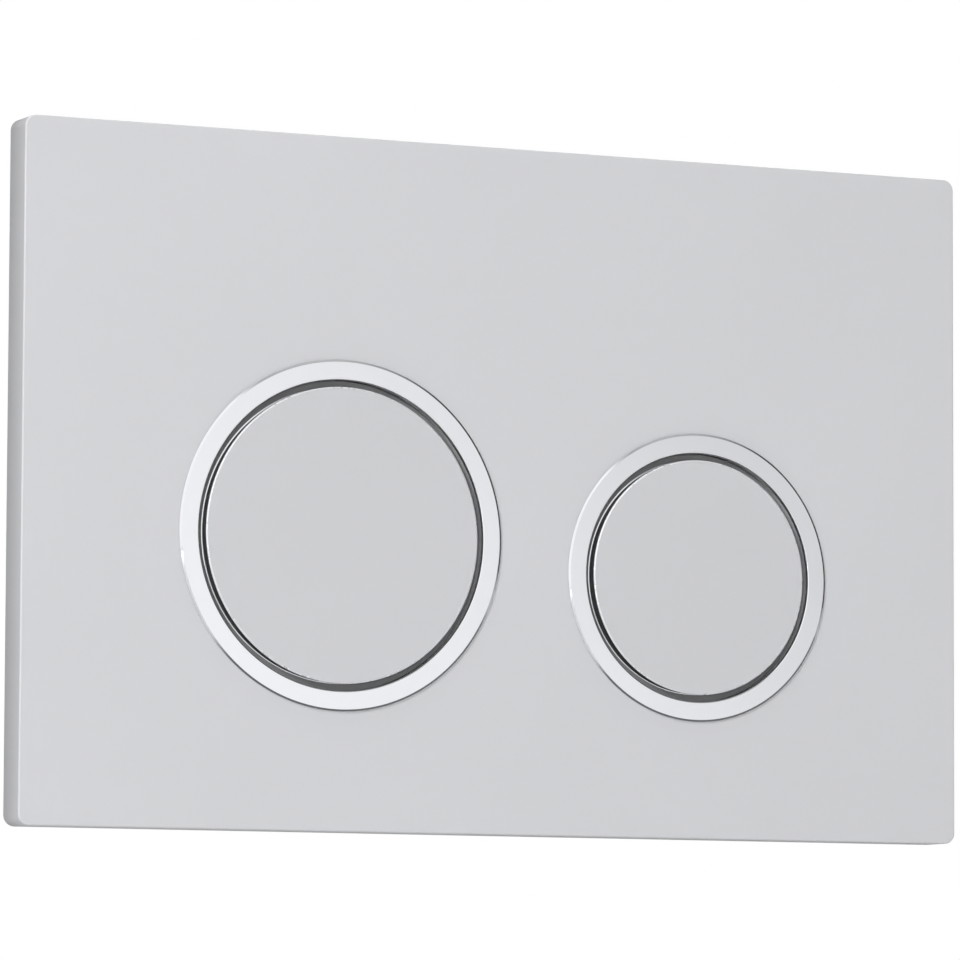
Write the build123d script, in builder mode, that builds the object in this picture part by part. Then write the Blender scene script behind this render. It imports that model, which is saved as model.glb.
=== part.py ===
from build123d import *
import os
from dataclasses import dataclass
from math import atan2, degrees

# Flush button plate for a concealed cistern, with a full flush and a half flush button.
# Millimetres. X runs to the right, Y into the wall and Z up. The origin is at the middle of
# the plate, on the wall. A height is measured from the wall towards the viewer, so it is -Y.

# Face plate, a moulded shell
plate_width = 246.0
plate_height = 164.0
plate_depth = 9.5
plate_corner_radius = 2.7
front_edge_radius = 0.4
face_thickness = 2.6
rim_thickness = 2.2
inner_corner_radius = 0.8
gusset_size = 4.5
gusset_thickness = 1.5
gusset_pitch = 34.0

# Buttons and their trim rings
large_button_x = -42.5
small_button_x = 51.65
large_cap_radius = 34.95
small_cap_radius = 28.35
ring_bottom_margin = 28.05
ring_gap = 1.65
ring_band = 4.85
ring_proud = 0.8
ring_edge = 0.35
ring_wall = 1.6
ring_lip_height = 1.0
ring_lip_reach = 0.35
ring_sleeve_length = 7.0
ring_seat_clearance = 0.2
barb_count = 4
barb_reach = 1.0
barb_width = 12.0
barb_height = 1.0
cap_proud = 0.5
cap_thickness = 0.7
cap_edge = 0.3
peg_radius = 1.5
peg_length = 1.6
peg_clearance = 0.05
button_travel = 5.0

# Plungers, the plain dishes behind the caps that carry the stem and the snap legs
plunger_depth = 7.8
plunger_thickness = 3.1
skirt_wall = 1.8
skirt_step = 0.3
flange_inset = 2.6
flange_height = 0.8
flange_clearance = 0.3
stem_radius = 6.0
stem_nose_radius = 1.5
stem_nose_length = 1.0
stem_reach = 3.5
leg_count = 3
leg_inset = 7.0
leg_thickness = 2.0
leg_width = 8.0
leg_hook_reach = 1.4
leg_hook_height = 2.0
leg_slot_clearance = 0.4
rib_thickness = 1.6
rib_depth = 2.4

# Return springs
spring_radius = 9.2
spring_wire = 0.9
spring_turns = 4.0
spring_seat_gap = 0.1

# Carrier, the chassis screwed to the back of the face plate
carrier_width = 184.0
carrier_height = 120.0
carrier_corner_radius = 5.0
carrier_thickness = 2.0
carrier_frame_gap = 0.4
locating_rib_wall = 1.6
locating_rib_depth = 2.0
locating_rib_gap = 0.5
locating_rib_corner = 8.0
cup_clearance = 0.5
cup_wall = 2.0
cup_floor = 2.0
press_clearance = 0.8
guide_wall = 1.8
guide_clearance = 0.15
guide_rear_length = 2.0
screw_x = 86.0
screw_z = 50.0
screw_middle_x = 7.0
screw_radius = 1.45
screw_length = 5.0
screw_head_radius = 2.8
screw_head_height = 1.7
screw_hole_clearance = 0.25
pilot_clearance = 0.05
boss_radius = 3.5

# Hooks of the carrier that hang the plate on the mounting frame
hook_x = 55.0
hook_width = 14.0
hook_thickness = 2.0
hook_lip = 2.8
hook_lip_height = 1.1
hook_wall_gap = 0.3
hook_clearance = 0.4

# Rocker levers, their pins and the lugs on the carrier that hold them
pivot_z = 44.0
pin_radius = 2.0
pin_end_length = 1.0
pivot_clearance = 0.05
hub_radius = 4.5
hub_length = 40.0
lug_thickness = 3.0
lug_radius = 4.5
lug_side_gap = 0.4
lug_gusset = 8.0
lever_thickness = 2.4
lever_pad_radius = 9.0
lever_shoulder = 4.0
lever_rim_wall = 1.8
lever_rim_height = 2.4
contact_gap = 0.3
nub_radius = 3.0
nub_clear_of_rim = 1.5
nub_chamfer = 1.2

# Push rods, adjustable in length by a spindle with a lock nut
rod_x = 32.0
rod_z = -26.0
rod_head_radius = 6.5
rod_head_height = 3.0
rod_radius = 4.5
rod_sleeve_length = 20.5
rod_bore_depth = 12.0
rod_clearance = 0.1
rod_end_clearance = 0.8
spindle_radius = 3.0
spindle_free_length = 14.0
spindle_clearance = 0.05
spindle_nose_radius = 2.6
spindle_nose_length = 6.0
spindle_tip_chamfer = 1.0
nut_flats = 10.0
nut_height = 4.0

# Mounting frame, fastened to the wall by two fixing bolts
frame_width = 214.0
frame_height = 142.0
frame_corner_radius = 6.0
frame_thickness = 3.0
window_width = 188.0
window_height = 116.0
window_corner_radius = 1.0
collar_wall = 2.0
collar_depth = 6.0
bridge_width = 20.0
bridge_thickness = 3.0
bridge_leg = 3.0
bridge_rib_height = 4.0
bridge_rib_thickness = 2.0
bush_wall = 3.0
bush_length = 8.0
bolt_x = 101.5
bolt_radius = 2.9
bolt_shoulder_radius = 3.2
bolt_hole_clearance = 0.2
bolt_head_radius = 6.5
bolt_head_height = 3.2
bolt_length = 33.0
bolt_shoulder_past_wall = 0.5
bolt_slot_width = 1.6
bolt_slot_depth = 1.4
bolt_tip_chamfer = 0.8

# Heights of the main faces above the wall, worked out from the sizes above
face_front = plate_depth
face_back = face_front - face_thickness
ring_front = face_front + ring_proud
ring_back = ring_front - ring_sleeve_length
carrier_back = frame_thickness + carrier_frame_gap
carrier_front = carrier_back + carrier_thickness
cap_front = ring_front + cap_proud
cap_back = cap_front - cap_thickness
skirt_back = cap_back - plunger_depth
plunger_back = cap_back - plunger_thickness
floor_front = skirt_back - button_travel - press_clearance
floor_back = floor_front - cup_floor
guide_front = plunger_back - button_travel - press_clearance
guide_back = floor_back - guide_rear_length
stem_tip = floor_back - stem_reach
lever_front = stem_tip - contact_gap
lever_back = lever_front - lever_thickness
pivot_height = (lever_front + lever_back) / 2
nub_height = lever_rim_height + nub_clear_of_rim
nub_tip = lever_back - nub_height
rod_front = nub_tip - contact_gap
rod_head_back = rod_front - rod_head_height


@dataclass
class ButtonSite:
    """Where one button sits, how large it is, and which push rod it works."""

    name: str
    x: float
    cap_radius: float
    rod_x: float

    @property
    def ring_inner(self):
        return self.cap_radius + ring_gap

    @property
    def ring_outer(self):
        return self.ring_inner + ring_band

    @property
    def sleeve_inner(self):
        return self.ring_inner + ring_lip_reach

    @property
    def sleeve_outer(self):
        return self.ring_inner + ring_wall

    @property
    def cup_inner(self):
        return self.sleeve_outer + barb_reach + cup_clearance

    @property
    def cup_outer(self):
        return self.cup_inner + cup_wall

    @property
    def z(self):
        return ring_bottom_margin - plate_height / 2 + self.ring_outer

    @property
    def skirt_outer(self):
        return self.cap_radius - skirt_step

    @property
    def skirt_inner(self):
        return self.skirt_outer - skirt_wall

    @property
    def leg_radius(self):
        return self.skirt_inner - leg_inset

    @property
    def rod_travel(self):
        return button_travel * (pivot_z - rod_z) / (pivot_z - self.z)

    @property
    def axis(self):
        return Axis((self.x, 0, self.z), (0, 1, 0))


large_site = ButtonSite("large", large_button_x, large_cap_radius, -rod_x)
small_site = ButtonSite("small", small_button_x, small_cap_radius, rod_x)
sites = (large_site, small_site)

# The bush that guides a rod lies behind the longest stroke of the rod heads
longest_rod_travel = max(site.rod_travel for site in sites)
bush_front = rod_head_back - longest_rod_travel - rod_end_clearance
bush_back = bush_front - bush_length
bridge_back = (bush_front + bush_back) / 2 - bridge_thickness / 2
bridge_front = bridge_back + bridge_thickness
rod_sleeve_back = rod_head_back - rod_sleeve_length
rod_points = [(site.rod_x, rod_z) for site in sites]
bolt_points = [(-bolt_x, 0), (bolt_x, 0)]
screw_points = [
    (-screw_x, screw_z),
    (screw_middle_x, screw_z),
    (screw_x, screw_z),
    (-screw_x, -screw_z),
    (screw_middle_x, -screw_z),
    (screw_x, -screw_z),
]


def facing(height):
    """The plane parallel to the wall at a height, with X to the right and Z up. It extrudes to the front."""
    return Plane.XZ.offset(height)


def across(x):
    """The plane square to the X axis at x, with heights to the right and Z up. It extrudes towards -X."""
    return Plane(origin=(x, 0, 0), x_dir=(0, -1, 0), z_dir=(-1, 0, 0))


def section(x, z):
    """The plane through an axis square to the wall, with the radius to the right and heights up."""
    return Plane(origin=(x, 0, z), x_dir=(1, 0, 0), z_dir=(0, 0, -1))


def turned(part_plane, points):
    """A closed outline of radius and height, drawn on a plane through the axis."""
    with BuildSketch(part_plane) as profile:
        with BuildLine():
            Polyline(*points, close=True)
        make_face()
    return profile.sketch


def front_edges(part):
    """The edges of the face of a part that is nearest to the viewer."""
    return part.faces().sort_by(Axis.Y)[0].edges()


def back_edges(part):
    """The edges of the face of a part that is farthest from the viewer."""
    return part.faces().sort_by(Axis.Y)[-1].edges()


def save(part, label):
    """Names a finished piece and writes its STEP file."""
    part.label = label
    export_step(part, f"parts/{label}.step")
    print(label, len(part.solids()), "solid", round(part.volume), "mm3")


# Face plate: shell, ring seats, screw bosses and the gussets that stiffen its rim
inside_width = plate_width - 2 * rim_thickness
inside_height = plate_height - 2 * rim_thickness
side_gussets = int((inside_height - gusset_pitch) / gusset_pitch) + 1
end_gussets = int((inside_width - gusset_pitch) / gusset_pitch) + 1

with BuildPart() as face_plate:
    with BuildSketch(facing(0)):
        RectangleRounded(plate_width, plate_height, plate_corner_radius)
    extrude(amount=plate_depth)
    fillet(front_edges(face_plate), front_edge_radius)
    with BuildSketch(facing(0)):
        RectangleRounded(inside_width, inside_height, inner_corner_radius)
    extrude(amount=face_back, mode=Mode.SUBTRACT)
    for site in sites:
        with BuildSketch(facing(face_back)):
            with Locations((site.x, site.z)):
                Circle(site.sleeve_outer + ring_seat_clearance)
        extrude(amount=face_thickness, mode=Mode.SUBTRACT)
    with BuildSketch(facing(carrier_front)):
        with Locations(*screw_points):
            Circle(boss_radius)
    extrude(amount=face_back - carrier_front)
    with BuildSketch(facing(carrier_back)):
        with Locations(*screw_points):
            Circle(screw_radius + pilot_clearance)
    extrude(amount=screw_length + pilot_clearance, mode=Mode.SUBTRACT)
    for side in (-1, 1):
        for gusset in range(end_gussets):
            x = (gusset - (end_gussets - 1) / 2) * gusset_pitch
            rim_z = side * inside_height / 2
            with BuildSketch(across(x + gusset_thickness / 2)):
                with BuildLine():
                    Polyline(
                        (face_back, rim_z),
                        (face_back - gusset_size, rim_z),
                        (face_back, rim_z - side * gusset_size),
                        close=True,
                    )
                make_face()
            extrude(amount=gusset_thickness)
        for gusset in range(side_gussets):
            z = (gusset - (side_gussets - 1) / 2) * gusset_pitch
            rim_x = side * inside_width / 2
            with BuildSketch(section(0, z + gusset_thickness / 2)):
                with BuildLine():
                    Polyline(
                        (rim_x, face_back),
                        (rim_x, face_back - gusset_size),
                        (rim_x - side * gusset_size, face_back),
                        close=True,
                    )
                make_face()
            extrude(amount=gusset_thickness)


def trim_ring(site):
    """Bright ring: a flat flange with a lip, a sleeve through the face, and barbs that snap behind it."""
    with BuildPart() as ring:
        add(
            turned(
                section(site.x, site.z),
                [
                    (site.ring_inner, ring_front),
                    (site.ring_outer, ring_front),
                    (site.ring_outer, face_front),
                    (site.sleeve_outer, face_front),
                    (site.sleeve_outer, ring_back),
                    (site.sleeve_inner, ring_back),
                    (site.sleeve_inner, ring_front - ring_lip_height),
                    (site.ring_inner, ring_front - ring_lip_height),
                ],
            )
        )
        revolve(axis=site.axis)
        chamfer(front_edges(ring), ring_edge)
        with BuildSketch(facing(face_back - ring_seat_clearance - barb_height)):
            with Locations((site.x, site.z)):
                with PolarLocations(site.sleeve_outer, barb_count, start_angle=45):
                    Rectangle(2 * barb_reach, barb_width)
        extrude(amount=barb_height)
    return ring.part


def button_cap(site):
    """Satin cap: a thin flat disc with a bevelled front edge, held on the plunger by three pegs."""
    with BuildPart() as cap:
        with BuildSketch(facing(cap_back)):
            with Locations((site.x, site.z)):
                Circle(site.cap_radius)
        extrude(amount=cap_thickness)
        chamfer(front_edges(cap), cap_edge)
        with BuildSketch(facing(cap_back - peg_length)):
            with Locations((site.x, site.z)):
                with PolarLocations(site.leg_radius, leg_count, start_angle=90):
                    Circle(peg_radius)
        extrude(amount=peg_length)
    return cap.part


def plunger(site):
    """Dish behind the cap: a skirt with a guide flange, ribs, the guide stem with its nose, and the snap legs."""
    leg_tip = floor_back - contact_gap - leg_hook_height
    flange_front = cap_back - flange_inset
    flange_back = flange_front - flange_height
    flange_outer = site.sleeve_inner - flange_clearance
    with BuildPart() as body:
        add(
            turned(
                section(site.x, site.z),
                [
                    (0, cap_back),
                    (site.skirt_outer, cap_back),
                    (site.skirt_outer, flange_front),
                    (flange_outer, flange_front),
                    (flange_outer, flange_back),
                    (site.skirt_outer, flange_back),
                    (site.skirt_outer, skirt_back),
                    (site.skirt_inner, skirt_back),
                    (site.skirt_inner, plunger_back),
                    (stem_radius, plunger_back),
                    (stem_radius, stem_tip + stem_nose_length),
                    (stem_nose_radius, stem_tip),
                    (0, stem_tip),
                ],
            )
        )
        revolve(axis=site.axis)
        with BuildSketch(facing(leg_tip)):
            with Locations((site.x, site.z)):
                with PolarLocations(site.leg_radius, leg_count, start_angle=30):
                    Rectangle(leg_thickness, leg_width)
        extrude(amount=plunger_back - leg_tip)
        with BuildSketch(facing(leg_tip)):
            with Locations((site.x, site.z)):
                hook_radius = site.leg_radius + (leg_thickness + leg_hook_reach) / 2
                with PolarLocations(hook_radius, leg_count, start_angle=30):
                    Rectangle(leg_hook_reach, leg_width)
        extrude(amount=leg_hook_height)
        rib_inner = spring_radius + spring_wire
        rib_length = site.skirt_inner - rib_inner
        with BuildSketch(facing(plunger_back - rib_depth)):
            with Locations((site.x, site.z)):
                with PolarLocations(rib_inner + rib_length / 2, leg_count, start_angle=90):
                    Rectangle(rib_length, rib_thickness)
        extrude(amount=rib_depth)
        with BuildSketch(facing(cap_back - peg_length - peg_clearance)):
            with Locations((site.x, site.z)):
                with PolarLocations(site.leg_radius, leg_count, start_angle=90):
                    Circle(peg_radius + peg_clearance)
        extrude(amount=peg_length + peg_clearance, mode=Mode.SUBTRACT)
    return body.part


def return_spring(site):
    """Compression spring between the floor of the cup and the plunger, wound from square wire."""
    start = floor_front + spring_seat_gap + spring_wire / 2
    rise = plunger_back - spring_seat_gap - spring_wire / 2 - start
    with BuildPart() as spring:
        with BuildLine() as wire:
            Helix(
                pitch=rise / spring_turns,
                height=rise,
                radius=spring_radius,
                center=(site.x, -start, site.z),
                direction=(0, -1, 0),
            )
        first = wire.line @ 0
        outwards = first - Vector(site.x, -start, site.z)
        with BuildSketch(Plane(origin=first, x_dir=outwards, z_dir=wire.line % 0)):
            Rectangle(spring_wire, spring_wire)
        sweep(path=wire.line, is_frenet=True)
    return spring.part


# Carrier: base plate with one cup for each button, guides, hooks for the frame and lever lugs
hook_outer_z = frame_height / 2 + hook_clearance + hook_thickness
lug_offset = hub_length / 2 + lug_side_gap + lug_thickness / 2
lug_foot_z = pivot_z - lug_radius
locating_rib_height = window_height - 2 * locating_rib_gap
locating_rib_x = (carrier_width - locating_rib_wall) / 2
locating_rib_z = (locating_rib_height - locating_rib_wall) / 2

with BuildPart() as carrier:
    with BuildSketch(facing(carrier_back)):
        RectangleRounded(carrier_width, carrier_height, carrier_corner_radius)
        with Locations((-hook_x, 0), (hook_x, 0)):
            Rectangle(hook_width, 2 * hook_outer_z)
    extrude(amount=carrier_thickness)
    with BuildSketch(facing(-locating_rib_depth)):
        with Locations((0, -locating_rib_z), (0, locating_rib_z)):
            Rectangle(carrier_width - 2 * locating_rib_corner, locating_rib_wall)
        with Locations((-locating_rib_x, 0), (locating_rib_x, 0)):
            Rectangle(locating_rib_wall, locating_rib_height - 2 * locating_rib_corner)
    extrude(amount=carrier_back + locating_rib_depth)
    for side in (-1, 1):
        for x in (-hook_x, hook_x):
            with BuildSketch(across(x + hook_width / 2)):
                with BuildLine():
                    Polyline(
                        (carrier_back, side * hook_outer_z),
                        (hook_wall_gap, side * hook_outer_z),
                        (hook_wall_gap, side * (hook_outer_z - hook_thickness - hook_lip)),
                        (
                            hook_wall_gap + hook_lip_height,
                            side * (hook_outer_z - hook_thickness - hook_lip),
                        ),
                        (hook_wall_gap + hook_lip_height, side * (hook_outer_z - hook_thickness)),
                        (carrier_back, side * (hook_outer_z - hook_thickness)),
                        close=True,
                    )
                make_face()
            extrude(amount=hook_width)
    for site in sites:
        with BuildSketch(facing(floor_back)):
            with Locations((site.x, site.z)):
                Circle(site.cup_outer)
        extrude(amount=carrier_front - floor_back)
        with BuildSketch(facing(floor_front)):
            with Locations((site.x, site.z)):
                Circle(site.cup_inner)
        extrude(amount=carrier_front - floor_front, mode=Mode.SUBTRACT)
        with BuildSketch(facing(guide_back)):
            with Locations((site.x, site.z)):
                Circle(stem_radius + guide_clearance + guide_wall)
        extrude(amount=guide_front - guide_back)
        with BuildSketch(facing(guide_back)):
            with Locations((site.x, site.z)):
                Circle(stem_radius + guide_clearance)
        extrude(amount=guide_front - guide_back, mode=Mode.SUBTRACT)
        with BuildSketch(facing(floor_back)):
            with Locations((site.x, site.z)):
                with PolarLocations(site.leg_radius, leg_count, start_angle=30):
                    Rectangle(leg_thickness + 2 * leg_slot_clearance, leg_width + 2 * leg_slot_clearance)
        extrude(amount=cup_floor, mode=Mode.SUBTRACT)
        for side in (-1, 1):
            lug_x = site.x + side * lug_offset + lug_thickness / 2
            with BuildSketch(across(lug_x)):
                with Locations((pivot_height, pivot_z)):
                    Circle(lug_radius)
                with Locations(((pivot_height + carrier_back) / 2, pivot_z)):
                    Rectangle(carrier_back - pivot_height, 2 * lug_radius)
                with BuildLine():
                    Polyline(
                        (carrier_back, lug_foot_z),
                        (carrier_back - lug_gusset, lug_foot_z),
                        (carrier_back, lug_foot_z - lug_gusset),
                        close=True,
                    )
                make_face()
                with Locations((pivot_height, pivot_z)):
                    Circle(pin_radius + pivot_clearance, mode=Mode.SUBTRACT)
            extrude(amount=lug_thickness)
    with BuildSketch(facing(carrier_back)):
        with Locations(*screw_points):
            Circle(screw_radius + screw_hole_clearance)
    extrude(amount=carrier_thickness, mode=Mode.SUBTRACT)

# Screws that hold the carrier on the bosses of the face plate
with BuildPart() as carrier_screws:
    with BuildSketch(facing(carrier_back - screw_head_height)):
        with Locations(*screw_points):
            Circle(screw_head_radius)
    extrude(amount=screw_head_height)
    with BuildSketch(facing(carrier_back)):
        with Locations(*screw_points):
            Circle(screw_radius)
    extrude(amount=screw_length)


def lever(site):
    """Rocker lever: hub on the pin, a tray that tapers past the stem, and the nub that works the rod."""
    corner = hub_length / 2 - lever_rim_wall - lever_shoulder
    with BuildPart() as rocker:
        for back, rise, hollow in (
            (lever_back, lever_thickness, False),
            (lever_back - lever_rim_height, lever_rim_height, True),
        ):
            with BuildSketch(facing(back)):
                with Locations((site.x - corner, pivot_z), (site.x + corner, pivot_z)):
                    Circle(lever_rim_wall)
                with Locations((site.x, site.z), (site.rod_x, rod_z)):
                    Circle(lever_pad_radius)
                make_hull()
                if hollow:
                    offset(amount=-lever_rim_wall, mode=Mode.SUBTRACT)
            extrude(amount=rise)
        with BuildSketch(across(site.x + hub_length / 2)):
            with Locations((pivot_height, pivot_z)):
                Circle(hub_radius)
        extrude(amount=hub_length)
        with BuildSketch(across(site.x + hub_length / 2)):
            with Locations((pivot_height, pivot_z)):
                Circle(pin_radius + pivot_clearance)
        extrude(amount=hub_length, mode=Mode.SUBTRACT)
        with BuildSketch(facing(nub_tip)):
            with Locations((site.rod_x, rod_z)):
                Circle(nub_radius)
        extrude(amount=nub_height)
        chamfer(back_edges(rocker), nub_chamfer)
    return rocker.part


def lever_pin(site):
    """Steel pin through the lugs of the carrier and the hub of the lever."""
    reach = lug_offset + lug_thickness / 2 + pin_end_length
    with BuildPart() as pin:
        with BuildSketch(across(site.x + reach)):
            with Locations((pivot_height, pivot_z)):
                Circle(pin_radius)
        extrude(amount=2 * reach)
    return pin.part


def rod_sleeve(site):
    """Sliding sleeve of a push rod, with a flat head in front and a threaded bore behind."""
    bore = spindle_radius + spindle_clearance
    with BuildPart() as sleeve:
        add(
            turned(
                section(site.rod_x, rod_z),
                [
                    (0, rod_front),
                    (rod_head_radius, rod_front),
                    (rod_head_radius, rod_head_back),
                    (rod_radius, rod_head_back),
                    (rod_radius, rod_sleeve_back),
                    (bore, rod_sleeve_back),
                    (bore, rod_sleeve_back + rod_bore_depth),
                    (0, rod_sleeve_back + rod_bore_depth),
                ],
            )
        )
        revolve(axis=Axis((site.rod_x, 0, rod_z), (0, 1, 0)))
    return sleeve.part


def rod_spindle(site):
    """Threaded spindle that sets the length of a push rod and presses on the cistern."""
    tip = rod_sleeve_back - spindle_free_length
    with BuildPart() as spindle:
        add(
            turned(
                section(site.rod_x, rod_z),
                [
                    (0, rod_sleeve_back + rod_bore_depth - rod_clearance),
                    (spindle_radius, rod_sleeve_back + rod_bore_depth - rod_clearance),
                    (spindle_radius, tip + spindle_nose_length),
                    (spindle_nose_radius, tip + spindle_nose_length),
                    (spindle_nose_radius, tip),
                    (0, tip),
                ],
            )
        )
        revolve(axis=Axis((site.rod_x, 0, rod_z), (0, 1, 0)))
        chamfer(back_edges(spindle), spindle_tip_chamfer)
    return spindle.part


def rod_lock_nut(site):
    """Hexagon nut that locks the spindle against the sleeve."""
    with BuildPart() as nut:
        with BuildSketch(facing(rod_sleeve_back - nut_height)):
            with Locations((site.rod_x, rod_z)):
                RegularPolygon(nut_flats / 2, 6, major_radius=False)
                Circle(spindle_radius + spindle_clearance, mode=Mode.SUBTRACT)
        extrude(amount=nut_height)
    return nut.part


# Mounting frame: flange on the wall, collar in the wall opening, and the bridge with the rod bushes
collar_width = window_width + 2 * collar_wall
collar_height = window_height + 2 * collar_wall
leg_x = (window_width + bridge_leg) / 2
pocket_depth = hook_wall_gap + hook_lip_height + hook_wall_gap
pocket_reach = hook_lip + hook_clearance
bush_radius = rod_radius + rod_clearance + bush_wall

with BuildPart() as mounting_frame:
    with BuildSketch(facing(0)):
        RectangleRounded(frame_width, frame_height, frame_corner_radius)
    extrude(amount=frame_thickness)
    with BuildSketch(facing(-collar_depth)):
        RectangleRounded(collar_width, collar_height, window_corner_radius + collar_wall)
    extrude(amount=collar_depth)
    with BuildSketch(facing(-collar_depth)):
        RectangleRounded(window_width, window_height, window_corner_radius)
    extrude(amount=collar_depth + frame_thickness, mode=Mode.SUBTRACT)
    with BuildSketch(facing(0)):
        for side in (-1, 1):
            with Locations((-hook_x, side * frame_height / 2), (hook_x, side * frame_height / 2)):
                Rectangle(hook_width + 2 * hook_clearance, 2 * pocket_reach)
    extrude(amount=pocket_depth, mode=Mode.SUBTRACT)
    with BuildSketch(facing(0)):
        with Locations(*bolt_points):
            Circle(bolt_shoulder_radius + bolt_hole_clearance)
    extrude(amount=frame_thickness, mode=Mode.SUBTRACT)
    with BuildSketch(facing(bridge_back)):
        with Locations((-leg_x, rod_z), (leg_x, rod_z)):
            Rectangle(bridge_leg, bridge_width)
    extrude(amount=frame_thickness - bridge_back)
    with BuildSketch(facing(bridge_back)):
        with Locations((0, rod_z)):
            Rectangle(window_width, bridge_width)
    extrude(amount=bridge_thickness)
    with BuildSketch(facing(bridge_front)):
        for side in (-1, 1):
            with Locations((0, rod_z + side * (bridge_width - bridge_rib_thickness) / 2)):
                Rectangle(window_width, bridge_rib_thickness)
    extrude(amount=bridge_rib_height)
    with BuildSketch(facing(bush_back)):
        with Locations(*rod_points):
            Circle(bush_radius)
    extrude(amount=bush_length)
    with BuildSketch(facing(bush_back)):
        with Locations(*rod_points):
            Circle(rod_radius + rod_clearance)
    extrude(amount=bush_length, mode=Mode.SUBTRACT)

# Fixing bolts that hold the mounting frame on the wall
bolt_tip = frame_thickness - bolt_length
with BuildPart() as fixing_bolts:
    with BuildSketch(facing(frame_thickness)):
        with Locations(*bolt_points):
            Circle(bolt_head_radius)
    extrude(amount=bolt_head_height)
    with BuildSketch(facing(-bolt_shoulder_past_wall)):
        with Locations(*bolt_points):
            Circle(bolt_shoulder_radius)
    extrude(amount=frame_thickness + bolt_shoulder_past_wall)
    with BuildSketch(facing(bolt_tip)):
        with Locations(*bolt_points):
            Circle(bolt_radius)
    extrude(amount=-bolt_shoulder_past_wall - bolt_tip)
    chamfer(fixing_bolts.edges().group_by(Axis.Y)[-1], bolt_tip_chamfer)
    with BuildSketch(facing(frame_thickness + bolt_head_height - bolt_slot_depth)):
        with Locations(*bolt_points):
            Rectangle(bolt_slot_width, 2 * bolt_head_radius)
    extrude(amount=bolt_slot_depth, mode=Mode.SUBTRACT)

# One STEP file for each piece
os.makedirs("parts", exist_ok=True)
save(face_plate.part, "face_plate")
save(carrier.part, "carrier")
save(carrier_screws.part, "carrier_screws")
save(mounting_frame.part, "mounting_frame")
save(fixing_bolts.part, "fixing_bolts")
for site in sites:
    save(trim_ring(site), f"{site.name}_ring")
    save(button_cap(site), f"{site.name}_button_cap")
    save(plunger(site), f"{site.name}_plunger")
    save(return_spring(site), f"{site.name}_return_spring")
    save(lever(site), f"{site.name}_lever")
    save(lever_pin(site), f"{site.name}_lever_pin")
    save(rod_sleeve(site), f"{site.name}_rod_sleeve")
    save(rod_spindle(site), f"{site.name}_rod_spindle")
    save(rod_lock_nut(site), f"{site.name}_rod_lock_nut")

# Travel of the joints, for the record
for site in sites:
    lever_angle = degrees(atan2(button_travel, pivot_z - site.z))
    print(site.name, "centre", (site.x, round(site.z, 3)), "lever", round(lever_angle, 3), "deg")
    print(site.name, "rod travel", round(site.rod_travel, 3), "pivot height", round(pivot_height, 3))
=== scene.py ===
# %% [markdown]
# # A flush button plate for a concealed cistern
# The plate is a flat silver moulding with two round buttons in bright rings, a large one for the full
# flush and a small one for the half flush. Behind it sit the carrier, the levers, the push rods and the
# mounting frame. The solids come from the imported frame, in metres: X runs to the right, Y into the wall
# and Z up. This lesson adds the camera, the light, the finishes, and the turned and wound pieces that
# look better as fine surfaces.

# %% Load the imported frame
import math

import bmesh
import bpy
import numpy as np
from mathutils import Matrix, Vector


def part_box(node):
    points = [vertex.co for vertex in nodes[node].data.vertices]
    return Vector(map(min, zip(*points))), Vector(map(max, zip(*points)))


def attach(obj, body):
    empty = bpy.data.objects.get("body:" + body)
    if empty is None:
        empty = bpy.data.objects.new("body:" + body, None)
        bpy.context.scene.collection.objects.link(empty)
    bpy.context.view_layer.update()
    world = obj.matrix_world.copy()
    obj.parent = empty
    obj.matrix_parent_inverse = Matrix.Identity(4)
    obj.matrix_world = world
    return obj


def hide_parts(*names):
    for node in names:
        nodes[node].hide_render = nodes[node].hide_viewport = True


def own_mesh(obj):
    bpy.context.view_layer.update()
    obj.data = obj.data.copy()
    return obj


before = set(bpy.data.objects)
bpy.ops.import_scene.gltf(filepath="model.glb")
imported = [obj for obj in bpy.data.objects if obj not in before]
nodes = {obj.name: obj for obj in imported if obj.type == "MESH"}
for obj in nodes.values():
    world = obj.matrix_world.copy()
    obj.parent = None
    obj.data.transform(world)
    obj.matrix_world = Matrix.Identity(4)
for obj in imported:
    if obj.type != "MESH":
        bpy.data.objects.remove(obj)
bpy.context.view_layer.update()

# %% [markdown]
# ## Camera
# The photograph was taken from the left and a little below the middle of the plate, with a long lens,
# so the upper and lower edges run almost parallel. A camera could be aimed with a constraint, but a
# place, a point to look at and a small roll are easier to read, and they stay fixed.

# %% Place the camera
MM = 0.001
camera_place = Vector((-650.9, -1356.5, -132.1)) * MM
aim_point = Vector((-6.45, -9.5, 2.1)) * MM
camera_roll = math.radians(0.24)
lens_mm = 236.7
sensor_mm = 36.0
near_clip = 0.05

camera_data = bpy.data.cameras.new("camera")
camera_data.lens = lens_mm
camera_data.sensor_width = sensor_mm
camera_data.clip_start = near_clip
camera_data.dof.use_dof = False
camera = bpy.data.objects.new("camera", camera_data)
sight_line = aim_point - camera_place
turn = sight_line.to_track_quat("-Z", "Y").to_matrix() @ Matrix.Rotation(camera_roll, 3, "Z")
camera.matrix_world = Matrix.Translation(camera_place) @ turn.to_4x4()
bpy.context.scene.collection.objects.link(camera)
bpy.context.scene.camera = camera
print("camera distance:", round(sight_line.length, 3), "m")

# %% [markdown]
# ## Studio lamps
# The photograph has soft light from the upper left and from near the camera, so the tone of the plate
# falls slowly to the right and the rings throw hardly any shadow. A sun lamp would throw hard ones, so
# area lamps stand well away: the key lamp at the upper left, a front lamp that reaches into the gaps
# round the buttons, a weak lamp above that lights the floor and so the lower edge, and one behind on
# the right that shows the back of the part. Polished metal mirrors the room that is painted below, so
# the lamps leave no spots on it.

# %% Hang the lamps
scene = bpy.context.scene
scene.view_settings.view_transform = "Standard"


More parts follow.
